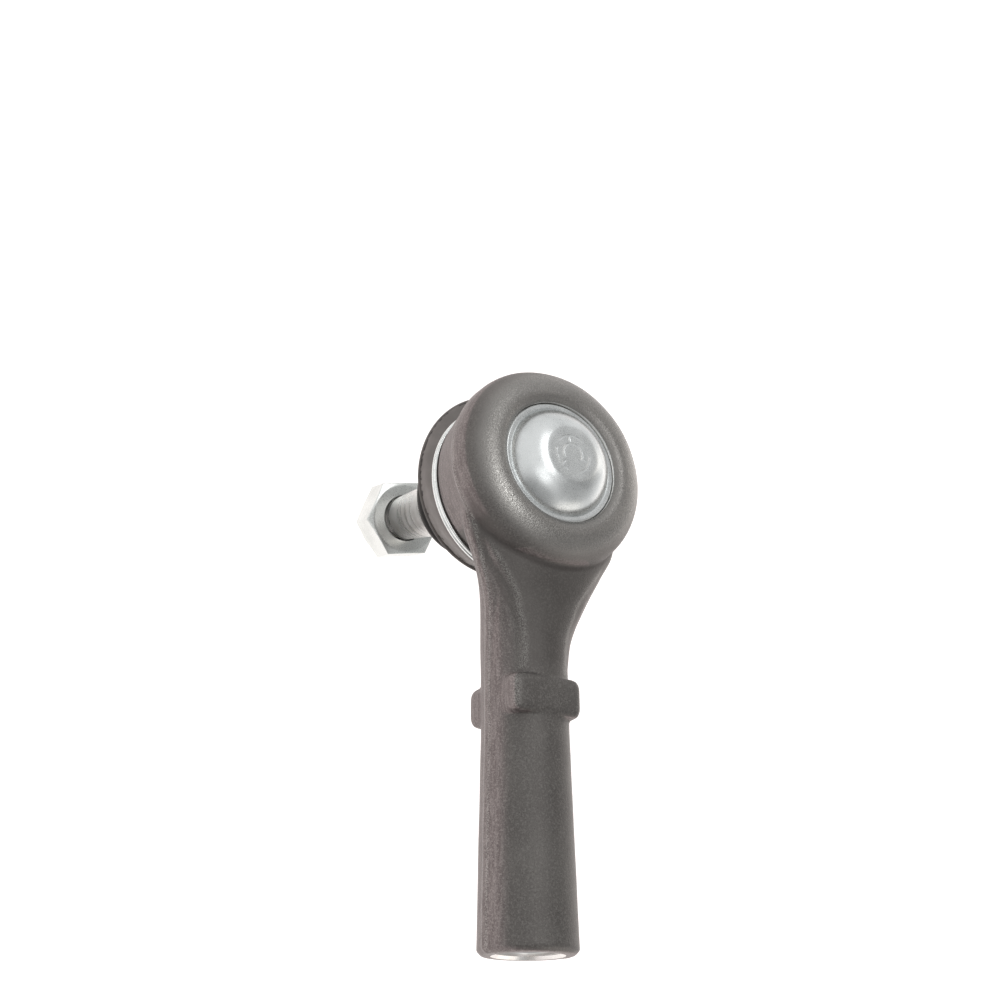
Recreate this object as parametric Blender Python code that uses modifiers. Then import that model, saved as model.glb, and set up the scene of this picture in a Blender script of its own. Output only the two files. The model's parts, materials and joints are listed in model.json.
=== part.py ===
"""Outer tie rod end: forged housing, ball stud, bearing, dust boot and lock nut.

Metres, +Z up along the housing's axis (closing cap up, stud down). The origin is the centre
of the threaded socket's mouth and the shank runs along X, so the ball lies at negative X.
"""

import math

import bmesh
import bpy
from mathutils import Matrix, Vector

MM = 0.001

# Driving dimensions, millimetres and degrees. Profiles below are measured from the ball centre.
BALL_TO_SOCKET = 92.0
BALL_ABOVE_SHANK = 3.8
BALL_RADIUS = 11.0
HEAD_RADIUS = 21.0
RIM_ROUND = 6.3
RIM_HEIGHT = 5.7
RIM_INNER_ROUND = 2.4
SHANK_RADIUS = 8.45
SOCKET_END_RADIUS = 9.3
SOCKET_BORE_RADIUS = 5.45
SOCKET_DEPTH = 36.0
SOCKET_CHAMFER = 0.9
COLLAR_START = 42.1
COLLAR_LENGTH = 7.4
COLLAR_WIDTH = 15.3
COLLAR_HEIGHT = 17.7
COLLAR_ROUND = 1.7
CAVITY_RADIUS = 14.0
STUD_TILT = 12.3
NECK_RADIUS = 4.8
TAPER_TOP_RADIUS = 6.95
TAPER_END_RADIUS = 5.12
THREAD_RADIUS = 4.85
STUD_LENGTH = 67.6
NUT_POSITION = 56.15
NUT_ACROSS_FLATS = 17.0
NUT_HEX_HEIGHT = 7.0
NUT_HEIGHT = 10.0
NUT_TURN = 12.8
BORE_CLEARANCE = 0.3
RING_WIRE_RADIUS = 0.42
SMALL_RING_WIRE_RADIUS = 0.4
SPRING_WIRE_RADIUS = 0.6
BOOT_RIDGE_DEPTH = 12.0
BOOT_LIP_DEPTH = 26.4

SEGMENTS = 40
INNER_SEGMENTS = 28
BOOT_SEGMENTS = 34
MERGE = 0.00001

BALL_CENTRE = Vector((-BALL_TO_SOCKET, 0.0, BALL_ABOVE_SHANK)) * MM


def clear_scene():
    for thing in list(bpy.data.objects):
        bpy.data.objects.remove(thing, do_unlink=True)


def make_collection(name):
    collection = bpy.data.collections.new(name)
    bpy.context.scene.collection.children.link(collection)
    return collection


def make_material(name, colour, roughness, metallic):
    material = bpy.data.materials.new(name)
    material.use_nodes = True
    shader = material.node_tree.nodes["Principled BSDF"]
    shader.inputs["Base Color"].default_value = (*colour, 1.0)
    shader.inputs["Roughness"].default_value = roughness
    shader.inputs["Metallic"].default_value = metallic
    return material


def add_object(name, data, collection, material=None, parent=None):
    thing = bpy.data.objects.new(name, data)
    collection.objects.link(thing)
    if material:
        data.materials.append(material)
    if parent:
        thing.parent = parent
    else:
        thing.location = BALL_CENTRE
    return thing


def add_empty(name, collection, tilt):
    empty = bpy.data.objects.new(name, None)
    collection.objects.link(empty)
    empty.location = BALL_CENTRE
    empty.rotation_euler = (0.0, math.radians(tilt), 0.0)
    return empty


def smooth_shading(mesh, angle=35.0):
    mesh.shade_smooth()
    mesh.set_sharp_from_angle(angle=math.radians(angle))


def mark_cutter(thing):
    thing.hide_render = True
    thing.display_type = "WIRE"


def arc(centre_r, centre_z, radius, start, end, count):
    """Points of an arc in the profile plane, angles in degrees from +R towards +Z."""
    points = []
    for k in range(count + 1):
        angle = math.radians(start + (end - start) * k / count)
        points.append((centre_r + radius * math.cos(angle), centre_z + radius * math.sin(angle)))
    return points


def turned(name, profile, collection, material=None, parent=None, closed=False, steps=SEGMENTS):
    """A profile of (radius, height) points, outer side downward, turned about Z with Screw."""
    mesh = bpy.data.meshes.new(name)
    points = [(r * MM, 0.0, z * MM) for r, z in profile]
    edges = [(k, k + 1) for k in range(len(points) - 1)]
    if closed:
        edges.append((len(points) - 1, 0))
    mesh.from_pydata(points, edges, [])
    thing = add_object(name, mesh, collection, material, parent)
    screw = thing.modifiers.new("Turn", "SCREW")
    screw.axis = "Z"
    screw.angle = 2.0 * math.pi
    screw.steps = steps
    screw.render_steps = steps
    screw.use_merge_vertices = True
    screw.merge_threshold = MERGE
    screw.use_smooth_shade = True
    return thing


def boolean(thing, other, operation):
    modifier = thing.modifiers.new(operation.title(), "BOOLEAN")
    modifier.operation = operation
    modifier.solver = "EXACT"
    modifier.object = other
    mark_cutter(other)


def smooth_step(value, start, end):
    t = min(1.0, max(0.0, (value - start) / (end - start)))
    return t * t * (3.0 - 2.0 * t)


def blend_rows(rows, x):
    """Values of rows (x, value, value, ...) at x, on smooth curves through the rows."""
    if x <= rows[0][0]:
        return rows[0][1:]
    last = len(rows) - 1
    for k in range(last):
        low, high = rows[k], rows[k + 1]
        if x <= high[0]:
            before, after = rows[max(k - 1, 0)], rows[min(k + 2, last)]
            step = high[0] - low[0]
            t = (x - low[0]) / step
            values = []
            for i in range(1, len(low)):
                slope_low = (high[i] - before[i]) / (high[0] - before[0]) * step
                slope_high = (after[i] - low[i]) / (after[0] - low[0]) * step
                start = low[i] * (1.0 + 2.0 * t) * (1.0 - t) ** 2 + slope_low * t * (1.0 - t) ** 2
                end = high[i] * t * t * (3.0 - 2.0 * t) - slope_high * t * t * (1.0 - t)
                values.append(start + end)
            return tuple(values)
    return rows[-1][1:]


def loft(name, rings, collection, material=None, parent=None, closed=False):
    """Skin through rings of points; the ends are capped, or joined when closed."""
    mesh = bpy.data.meshes.new(name)
    work = bmesh.new()
    rows = [[work.verts.new(Vector(p) * MM) for p in ring] for ring in rings]
    pairs = list(zip(rows, rows[1:]))
    if closed:
        pairs.append((rows[-1], rows[0]))
    for first, second in pairs:
        count = len(first)
        for k in range(count):
            n = (k + 1) % count
            work.faces.new((first[k], first[n], second[n], second[k]))
    if not closed:
        work.faces.new(rows[0])
        work.faces.new(rows[-1])
    bmesh.ops.recalc_face_normals(work, faces=work.faces)
    work.to_mesh(mesh)
    work.free()
    smooth_shading(mesh)
    return add_object(name, mesh, collection, material, parent)


def section(x, half_width, edge, top, bottom, upper, lower, count=36):
    """A section of the neck or shank at x: two superellipse halves that meet at height edge."""
    ring = []
    for k in range(count):
        angle = 2.0 * math.pi * k / count
        c, s = math.cos(angle), math.sin(angle)
        power = 2.0 / (upper if s > 0.0 else lower)
        height = top - edge if s > 0.0 else edge - bottom
        y = half_width * math.copysign(abs(c) ** power, c)
        z = edge + height * math.copysign(abs(s) ** power, s)
        ring.append((x, y, z))
    return ring


def round_section(x, radius):
    axis = -BALL_ABOVE_SHANK
    return section(x, radius, axis, axis + radius, axis - radius, 2.0, 2.0)


def shank_sections():
    """Neck and shank: a wide flat root inside the head narrows to the round shank."""
    axis = -BALL_ABOVE_SHANK
    r = SHANK_RADIUS
    # x, half width, height of the parting edge, top, bottom, upper and lower squareness
    rows = [
        (5.0, 18.0, 1.6, 8.0, -4.6, 2.6, 2.0),
        (14.2, 16.9, 2.0, 8.2, -4.9, 2.3, 1.8),
        (19.7, 14.3, 1.2, 7.9, -5.8, 2.1, 1.7),
        (23.6, 12.3, 0.4, 7.1, -8.4, 2.1, 1.7),
        (28.0, 10.5, -0.8, 5.9, -11.0, 2.1, 1.8),
        (33.4, 9.0, -2.8, 5.0, axis - r, 2.05, 1.95),
        (39.0, r, axis, axis + r, axis - r, 2.0, 2.0),
    ]
    stations = [5.0, 10.0, 14.2, 16.0, 18.0, 19.7, 21.0, 22.4, 23.6, 25.0, 26.5, 28.0, 30.0, 31.7]
    stations += [33.4, 36.0]
    rings = [section(x, *blend_rows(rows, x)) for x in stations]
    edge = BALL_TO_SOCKET - SOCKET_CHAMFER
    rings += [round_section(39.0, r), round_section(COLLAR_START + COLLAR_LENGTH + 2.0, r)]
    rings += [round_section(edge, SOCKET_END_RADIUS)]
    rings += [round_section(BALL_TO_SOCKET, SOCKET_END_RADIUS - SOCKET_CHAMFER)]
    return rings


def collar_block(collection):
    """Square collar round the shank, with drafted faces and rounded edges."""
    mesh = bpy.data.meshes.new("collar_block")
    work = bmesh.new()
    bmesh.ops.create_cube(work, size=1.0)
    size = Vector((COLLAR_LENGTH, COLLAR_WIDTH, COLLAR_HEIGHT)) * MM
    bmesh.ops.scale(work, vec=size, verts=work.verts)
    bmesh.ops.bevel(
        work,
        geom=list(work.edges),
        offset=COLLAR_ROUND * MM,
        segments=3,
        profile=0.5,
        affect="EDGES",
    )
    work.to_mesh(mesh)
    work.free()
    block = add_object("collar_block", mesh, collection)
    centre = Vector((COLLAR_START + COLLAR_LENGTH / 2.0, 0.0, -BALL_ABOVE_SHANK)) * MM
    block.location = BALL_CENTRE + centre
    return block


def head_profile():
    """Outer outline of the round head: rolled rim, drafted side wall, boot seat and nose."""
    crest = HEAD_RADIUS - RIM_ROUND
    inner_centre = RIM_HEIGHT + RIM_ROUND - RIM_INNER_ROUND
    profile = [(0.0, 10.2), (12.2, 10.2)]
    profile += arc(crest, inner_centre, RIM_INNER_ROUND, 160.0, 100.0, 4)
    profile += arc(crest, RIM_HEIGHT, RIM_ROUND, 90.0, -8.0, 13)
    profile += [(20.9, 4.0), (19.0, -4.8), (18.6, -5.3)]
    profile += [(16.2, -5.5), (16.2, -9.3), (15.9, -10.3), (0.0, -10.3)]
    return profile


def cavity_profile():
    """Counterbore for the cap, bearing chamber and the flared opening for the stud."""
    r = CAVITY_RADIUS
    return [
        (0.0, 14.0),
        (12.75, 14.0),
        (12.75, 9.7),
        (r, 9.7),
        (r, -4.6),
        (10.4, -8.1),
        (10.4, -8.4),
        (12.6, -10.6),
        (12.6, -14.0),
        (0.0, -14.0),
    ]


def socket_profile():
    """Tapping bore of the threaded socket with its countersink and drill point."""
    r = SOCKET_BORE_RADIUS
    return [(0.0, 3.0), (r + 4.0, 3.0), (r, -1.0), (r, -SOCKET_DEPTH), (0.0, -SOCKET_DEPTH - 3.0)]


def forged_housing(parts, cutters, steel):
    housing = loft("forged_housing", shank_sections(), parts, steel)
    boolean(housing, turned("head_body", head_profile(), cutters), "UNION")
    boolean(housing, collar_block(cutters), "UNION")
    boolean(housing, turned("cavity_cutter", cavity_profile(), cutters), "DIFFERENCE")
    socket = turned("socket_cutter", socket_profile(), cutters, steps=INNER_SEGMENTS)
    socket.location = (0.0, 0.0, 0.0)
    socket.rotation_euler = (0.0, math.radians(90.0), 0.0)
    boolean(housing, socket, "DIFFERENCE")
    return housing


def closing_cap(parts, zinc):
    """Pressed steel cap: clamped flange, flat ring, convex skirt and flat crown."""
    profile = [(0.0, 14.9), (5.4, 14.9), (6.6, 14.7), (7.9, 14.2), (9.2, 13.4), (10.2, 12.4)]
    profile += [(11.0, 11.3), (11.35, 10.5), (12.3, 10.5), (12.4, 10.3), (12.4, 9.4)]
    profile += [(13.7, 9.4), (13.7, 8.4), (11.2, 8.4), (10.5, 9.6), (9.9, 11.2), (9.0, 12.3)]
    profile += [(7.9, 13.1), (6.8, 13.6), (5.4, 13.8), (0.0, 13.8)]
    return turned("closing_cap", profile, parts, zinc)


def upper_bearing_seat(parts, polymer):
    inner = BALL_RADIUS + BORE_CLEARANCE
    outer = CAVITY_RADIUS - BORE_CLEARANCE
    profile = [(outer, 8.1), (outer, 0.9)]
    profile += arc(0.0, 0.0, inner, 4.6, 45.5, 8)
    return turned("upper_bearing_seat", profile, parts, polymer, closed=True, steps=INNER_SEGMENTS)


def lower_bearing_seat(parts, polymer):
    inner = BALL_RADIUS + BORE_CLEARANCE
    outer = CAVITY_RADIUS - BORE_CLEARANCE
    profile = [(outer, 0.6), (outer, -4.4), (11.6, -6.45)]
    profile += arc(0.0, 0.0, inner, -35.5, 3.0, 8)
    return turned("lower_bearing_seat", profile, parts, polymer, closed=True, steps=INNER_SEGMENTS)


def coil(name, collection, material, parent, wire, turns, radii, heights, per_turn):
    """Wire wound about Z; radii and heights are the values at its first and last point."""
    curve = bpy.data.curves.new(name, "CURVE")
    curve.dimensions = "3D"
    curve.bevel_depth = wire * MM
    curve.bevel_resolution = 2
    curve.use_fill_caps = True
    spline = curve.splines.new("POLY")
    count = int(turns * per_turn) + 1
    spline.points.add(count - 1)
    for k in range(count):
        t = k / (count - 1)
        angle = 2.0 * math.pi * turns * t
        radius = radii[0] + (radii[1] - radii[0]) * t
        height = heights[0] + (heights[1] - heights[0]) * t
        x, y = radius * math.cos(angle), radius * math.sin(angle)
        spline.points[k].co = (x * MM, y * MM, height * MM, 1.0)
    return add_object(name, curve, collection, material, parent)


def preload_spring(parts, spring_steel):
    """Conical spring between the upper seat and the cap's crown."""
    radii, heights = (8.7, 5.2), (9.05, 12.7)
    return coil(
        "preload_spring", parts, spring_steel, None, SPRING_WIRE_RADIUS, 2.3, radii, heights, 18
    )


def ball_stud(parts, steel, stud_axis):
    """Ball, neck, taper and threaded end in one piece."""
    neck_angle = math.degrees(math.asin(NECK_RADIUS / BALL_RADIUS))
    profile = [(0.0, 10.55)]
    profile += arc(0.0, 0.0, BALL_RADIUS, 73.5, neck_angle - 90.0, 18)
    profile += [(NECK_RADIUS, -14.0), (5.3, -17.0), (6.3, -20.0), (TAPER_TOP_RADIUS, -21.5)]
    profile += [(TAPER_TOP_RADIUS, -26.6), (TAPER_END_RADIUS, -55.7), (THREAD_RADIUS, -56.0)]
    profile += [(THREAD_RADIUS, -STUD_LENGTH + 1.0), (THREAD_RADIUS - 1.0, -STUD_LENGTH)]
    profile += [(0.0, -STUD_LENGTH)]
    return turned("ball_stud", profile, parts, steel, stud_axis, steps=INNER_SEGMENTS)


def lock_nut(parts, cutters, zinc, stud_axis):
    """Hexagon nut with chamfered corners and a collar rolled over the nylon ring."""
    corner = NUT_ACROSS_FLATS / math.sqrt(3.0)
    face = NUT_ACROSS_FLATS * 0.47
    bore = THREAD_RADIUS + BORE_CLEARANCE
    top = -NUT_POSITION
    hex_end = top - NUT_HEX_HEIGHT
    end = top - NUT_HEIGHT
    drop = (corner + 0.3 - face) * math.tan(math.radians(30.0))
    profile = [(5.8, top), (face, top), (corner + 0.3, top - drop), (corner + 0.3, hex_end + drop)]
    profile += [(face, hex_end), (7.7, hex_end - 0.3), (7.6, end + 0.9), (7.1, end + 0.2)]
    profile += [(6.4, end), (5.9, end + 0.25), (5.9, end + 0.7), (7.0, end + 1.0)]
    profile += [(7.0, hex_end - 0.1), (bore, hex_end + 0.2), (bore, top - 0.65)]
    nut = turned("lock_nut", profile, parts, zinc, stud_axis, closed=True)
    mesh = bpy.data.meshes.new("hexagon")
    work = bmesh.new()
    bmesh.ops.create_cone(
        work,
        cap_ends=True,
        segments=6,
        radius1=corner * MM,
        radius2=corner * MM,
        depth=4.0 * NUT_HEIGHT * MM,
    )
    turn = Matrix.Rotation(math.radians(NUT_TURN), 4, "Z")
    place = Matrix.Translation((0.0, 0.0, (top - NUT_HEIGHT / 2.0) * MM))
    bmesh.ops.transform(work, matrix=place @ turn, verts=work.verts)
    work.to_mesh(mesh)
    work.free()
    hexagon = add_object("hexagon", mesh, cutters, None, stud_axis)
    boolean(nut, hexagon, "INTERSECT")
    return nut


def nylon_ring(parts, nylon, stud_axis):
    start = -NUT_POSITION - NUT_HEX_HEIGHT - 0.4
    end = -NUT_POSITION - NUT_HEIGHT + 1.3
    inner = THREAD_RADIUS + BORE_CLEARANCE
    profile = [(6.7, start), (6.7, end), (inner, end), (inner, start)]
    return turned("nylon_ring", profile, parts, nylon, stud_axis, closed=True, steps=INNER_SEGMENTS)


def boot_profile():
    """Cross-section (radius, depth below the ball centre) of the boot's rubber wall."""
    lip = TAPER_TOP_RADIUS + BORE_CLEARANCE
    outer = [(17.95, 5.75), (17.95, 8.4), (18.2, 9.1), (18.7, 10.3), (18.95, BOOT_RIDGE_DEPTH)]
    outer += [(18.2, 13.6), (17.1, 15.6), (15.5, 17.7), (13.5, 19.6), (11.6, 20.9), (10.2, 21.7)]
    outer += [(9.2, 22.5), (9.2, 23.6), (10.6, 24.4), (12.4, 25.2), (12.7, 25.9)]
    outer += [(12.3, BOOT_LIP_DEPTH)]
    inner = [(lip, BOOT_LIP_DEPTH), (lip, 21.8), (9.4, 20.6), (11.6, 19.4), (13.6, 17.9)]
    inner += [(15.4, 16.0), (16.6, 14.0), (17.1, BOOT_RIDGE_DEPTH), (17.0, 10.3), (16.5, 9.0)]
    inner += [(16.5, 5.75)]
    return outer + inner


def boot_point(radius, depth, angle):
    """A wall point: the boot's centre line swings to the stud as it leaves the housing."""
    swing = math.radians(STUD_TILT) * smooth_step(depth, 8.4, 12.5)
    lean = math.radians(STUD_TILT) * smooth_step(depth, 8.4, 14.5)
    centre = Vector((-depth * math.sin(swing), 0.0, -depth * math.cos(swing)))
    rim = Vector((radius * math.cos(angle), radius * math.sin(angle), 0.0))
    return centre + Matrix.Rotation(lean, 3, "Y") @ rim


def dust_boot(parts, rubber):
    rings = []
    for radius, depth in boot_profile():
        angles = [2.0 * math.pi * k / BOOT_SEGMENTS for k in range(BOOT_SEGMENTS)]
        rings.append([boot_point(radius, depth, angle) for angle in angles])
    return loft("dust_boot", rings, parts, rubber, closed=True)


def boot_clamp_ring(parts, wire_steel):
    radii, heights = (18.7, 18.7), (-5.95, -7.75)
    return coil(
        "boot_clamp_ring", parts, wire_steel, None, RING_WIRE_RADIUS, 2.0, radii, heights, 30
    )


def stud_clamp_ring(parts, wire_steel, stud_axis):
    wire, radii, heights = SMALL_RING_WIRE_RADIUS, (9.95, 9.95), (-22.65, -23.5)
    return coil("stud_clamp_ring", parts, wire_steel, stud_axis, wire, 1.0, radii, heights, 24)


def build():
    clear_scene()
    parts = make_collection("tie_rod_end")
    cutters = make_collection("cutters")
    forged = make_material("forged_steel", (0.11, 0.1, 0.095), 0.55, 0.55)
    zinc = make_material("zinc_plate", (0.55, 0.58, 0.6), 0.32, 1.0)
    machined = make_material("machined_steel", (0.5, 0.48, 0.47), 0.35, 1.0)
    bright_wire = make_material("bright_wire", (0.8, 0.8, 0.8), 0.2, 1.0)
    rubber = make_material("boot_rubber", (0.13, 0.115, 0.11), 0.6, 0.0)
    polymer = make_material("bearing_polymer", (0.75, 0.74, 0.7), 0.4, 0.0)
    nylon = make_material("nylon", (0.8, 0.8, 0.76), 0.35, 0.0)
    stud_axis = add_empty("stud_axis", parts, STUD_TILT)
    forged_housing(parts, cutters, forged)
    closing_cap(parts, zinc)
    upper_bearing_seat(parts, polymer)
    lower_bearing_seat(parts, polymer)
    preload_spring(parts, bright_wire)
    dust_boot(parts, rubber)
    boot_clamp_ring(parts, bright_wire)
    stud_clamp_ring(parts, bright_wire, stud_axis)
    ball_stud(parts, machined, stud_axis)
    lock_nut(parts, cutters, zinc, stud_axis)
    nylon_ring(parts, nylon, stud_axis)


build()
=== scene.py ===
"""Looks of an outer tie rod end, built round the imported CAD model.

Shapes are written in millimetres from the ball centre: +Z up to the closing cap, +X along the
shank to the threaded socket. Stud shapes use the same centre, with +Z up the tilted stud.
"""

import json
import math

import bpy
from mathutils import Matrix, Vector, noise


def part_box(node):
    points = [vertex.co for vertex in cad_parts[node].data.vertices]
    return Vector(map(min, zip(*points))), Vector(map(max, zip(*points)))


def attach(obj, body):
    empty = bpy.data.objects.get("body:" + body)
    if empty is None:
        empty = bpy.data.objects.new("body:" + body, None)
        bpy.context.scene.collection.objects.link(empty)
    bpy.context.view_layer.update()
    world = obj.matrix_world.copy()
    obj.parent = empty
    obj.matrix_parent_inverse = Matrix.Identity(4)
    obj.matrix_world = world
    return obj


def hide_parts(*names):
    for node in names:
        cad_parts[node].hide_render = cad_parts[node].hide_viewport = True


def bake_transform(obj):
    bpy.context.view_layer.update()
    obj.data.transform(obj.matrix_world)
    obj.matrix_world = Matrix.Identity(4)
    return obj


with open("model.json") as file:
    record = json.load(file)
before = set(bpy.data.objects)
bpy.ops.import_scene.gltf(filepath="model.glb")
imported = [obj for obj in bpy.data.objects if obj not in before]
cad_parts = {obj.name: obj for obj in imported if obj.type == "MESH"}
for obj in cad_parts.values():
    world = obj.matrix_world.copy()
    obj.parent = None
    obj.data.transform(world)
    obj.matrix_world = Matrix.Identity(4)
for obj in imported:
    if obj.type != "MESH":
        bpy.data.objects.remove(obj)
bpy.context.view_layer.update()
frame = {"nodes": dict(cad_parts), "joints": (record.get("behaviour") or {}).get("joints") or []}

MM = 0.001

# ---------------------------------------------------------------- places taken from the frame
JOINTS = {joint["name"]: joint for joint in frame["joints"]}
BALL = Vector(JOINTS["stud_swing"]["pos_m"])
STUD_AXIS = Vector(JOINTS["stud_spin"]["axis"])
TILT = math.atan2(STUD_AXIS.x, STUD_AXIS.z)
HOUSING_PLACE = Matrix.Translation(BALL)
STUD_PLACE = Matrix.Translation(BALL) @ Matrix.Rotation(TILT, 4, "Y")
SOCKET_MOUTH = (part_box("forged_housing")[1].x - BALL.x) / MM
SHANK_AXIS = -BALL.z / MM
CAP_TOP = (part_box("closing_cap")[1].z - BALL.z) / MM
HEAD_RADIUS = (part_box("forged_housing")[1].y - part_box("forged_housing")[0].y) / MM / 2.0

# ---------------------------------------------------------------- driving dimensions
RIM_ROUND = 6.3
RIM_HEIGHT = 5.7
RIM_INNER_ROUND = 2.4
PARTING_HEIGHT = 4.0
SHOULDER_HEIGHT = 8.2
SHANK_RADIUS = 8.45
SOCKET_END_RADIUS = 9.3
SOCKET_CHAMFER = 0.9
SOCKET_DEPTH = 36.0
SOCKET_BORE_RADIUS = 5.45
SOCKET_THREAD_RADIUS = 6.0
SOCKET_PITCH = 1.5
COLLAR_START = 42.1
COLLAR_LENGTH = 7.4
COLLAR_WIDTH = 15.3
COLLAR_HEIGHT = 17.7
COLLAR_END_ROUND = 2.0
COLLAR_SQUARENESS = 0.2
BALL_RADIUS = 11.0
STUD_LENGTH = 67.6
NECK_RADIUS = 4.8
TAPER_TOP_RADIUS = 6.95
TAPER_END_RADIUS = 5.12
THREAD_RADIUS = 4.85
THREAD_ROOT_RADIUS = 4.12
THREAD_PITCH = 1.25
THREAD_START = -56.5
NUT_POSITION = 56.15
NUT_ACROSS_FLATS = 17.0
NUT_HEX_HEIGHT = 7.0
NUT_HEIGHT = 10.0
NUT_CORNER = 42.8
NUT_CHAMFER = 18.0
BOOT_RIDGE_DEPTH = 12.6
BOOT_LIP_DEPTH = 26.4
BOOT_SLUMP = 0.9
CLAMP_WIRE_RADIUS = 0.42
SMALL_WIRE_RADIUS = 0.4
STAMPING_DEPTH = 0.07


# ---------------------------------------------------------------- small maths
def smooth_step(value, start, end):
    t = min(1.0, max(0.0, (value - start) / (end - start)))
    return t * t * (3.0 - 2.0 * t)


def hump(value, width):
    """A smooth bump, 1 at value 0."""
    return math.exp(-((value / width) ** 2))


def land(value, half_width):
    """A flat-topped bump with soft edges."""
    return 1.0 / (1.0 + (value / half_width) ** 6)


def soft_min(a, b, blend):
    h = max(0.0, min(1.0, 0.5 + 0.5 * (b - a) / blend))
    return b * (1.0 - h) + a * h - blend * h * (1.0 - h)


def blend_rows(rows, x):
    """Values of rows (x, value, value, ...) at x, on smooth curves through the rows."""
    if x <= rows[0][0]:
        return rows[0][1:]
    last = len(rows) - 1
    for k in range(last):
        low, high = rows[k], rows[k + 1]
        if x <= high[0]:
            before, after = rows[max(k - 1, 0)], rows[min(k + 2, last)]
            step = high[0] - low[0]
            t = (x - low[0]) / step
            values = []
            for i in range(1, len(low)):
                slope_low = (high[i] - before[i]) / (high[0] - before[0]) * step
                slope_high = (after[i] - low[i]) / (after[0] - low[0]) * step
                start = low[i] * (1.0 + 2.0 * t) * (1.0 - t) ** 2 + slope_low * t * (1.0 - t) ** 2
                end = high[i] * t * t * (3.0 - 2.0 * t) - slope_high * t * t * (1.0 - t)
                values.append(start + end)
            return tuple(values)
    return rows[-1][1:]


def arc(centre_r, centre_z, radius, start, end, count):
    """Points of an arc in the profile plane, angles in degrees from +R towards +Z."""
    points = []
    for k in range(count + 1):
        angle = math.radians(start + (end - start) * k / count)
        points.append((centre_r + radius * math.cos(angle), centre_z + radius * math.sin(angle)))
    return points


def soften(points, radius, count=4, closed=False):
    """The outline with every corner replaced by a small round."""
    total = len(points)
    result = []
    for k in range(total):
        here = Vector(points[k])
        if not closed and k in (0, total - 1):
            result.append(tuple(here))
            continue
        to_last = Vector(points[k - 1]) - here
        to_next = Vector(points[(k + 1) % total]) - here
        reach = min(radius, to_last.length * 0.45, to_next.length * 0.45)
        start = here + to_last.normalized() * reach
        end = here + to_next.normalized() * reach
        for n in range(count + 1):
            t = n / count
            point = start * (1.0 - t) ** 2 + here * 2.0 * t * (1.0 - t) + end * t * t
            result.append(tuple(point))
    return result


def flowing(points, count=4):
    """A smooth curve through the points."""
    rows = [(float(k), *point) for k, point in enumerate(points)]
    steps = (len(points) - 1) * count
    return [blend_rows(rows, k / count) for k in range(steps + 1)]


def resampled(points, step):
    """The outline with extra points, so that none is further than step from the next."""
    result = [points[0]]
    for first, second in zip(points, points[1:]):
        length = math.dist(first, second)
        parts = max(1, math.ceil(length / step))
        for n in range(1, parts + 1):
            t = n / parts
            result.append(tuple(a + (b - a) * t for a, b in zip(first, second)))
    return result


# ---------------------------------------------------------------- mesh makers
def finish_mesh(name, vertices, faces, place=HOUSING_PLACE, sharp=40.0):
    mesh = bpy.data.meshes.new(name)
    mesh.from_pydata([Vector(v) * MM for v in vertices], [], faces)
    mesh.validate()
    mesh.shade_smooth()
    mesh.set_sharp_from_angle(angle=math.radians(sharp))
    thing = bpy.data.objects.new(name, mesh)
    bpy.context.scene.collection.objects.link(thing)
    thing.matrix_world = place
    return thing


def skin(rings, closed_rings=False, caps=True):
    """Vertices and faces through rings of equal length."""
    vertices = [point for ring in rings for point in ring]
    count = len(rings[0])
    starts = [k * count for k in range(len(rings))]
    pairs = list(zip(starts, starts[1:]))
    if closed_rings:
        pairs.append((starts[-1], 0))
    faces = []
    for first, second in pairs:
        for k in range(count):
            n = (k + 1) % count
            faces.append((first + k, first + n, second + n, second + k))
    if caps and not closed_rings:
        faces.append(tuple(range(count - 1, -1, -1)))
        faces.append(tuple(range(starts[-1], starts[-1] + count)))
    return vertices, faces


def lathe(name, profile, steps, closed=False, warp=None, place=HOUSING_PLACE, sharp=40.0):
    """Turns (radius, height) points about Z; warp(r, z, angle) may move each point."""
    vertices, faces, rings = [], [], []
    for r, z in profile:
        if r < 1e-6:
            rings.append([len(vertices)])
            vertices.append((0.0, 0.0, z))
            continue
        rings.append(list(range(len(vertices), len(vertices) + steps)))
        for k in range(steps):
            angle = 2.0 * math.pi * k / steps
            radius, height = warp(r, z, angle) if warp else (r, z)
            vertices.append((radius * math.cos(angle), radius * math.sin(angle), height))
    pairs = list(zip(rings, rings[1:]))
    if closed:
        pairs.append((rings[-1], rings[0]))
    for first, second in pairs:
        for k in range(steps):
            n = (k + 1) % steps
            corners = [first[k % len(first)], second[k % len(second)]]
            corners += [second[n % len(second)], first[n % len(first)]]
            faces.append(tuple(dict.fromkeys(corners)))
    return finish_mesh(name, vertices, faces, place, sharp)


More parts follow.
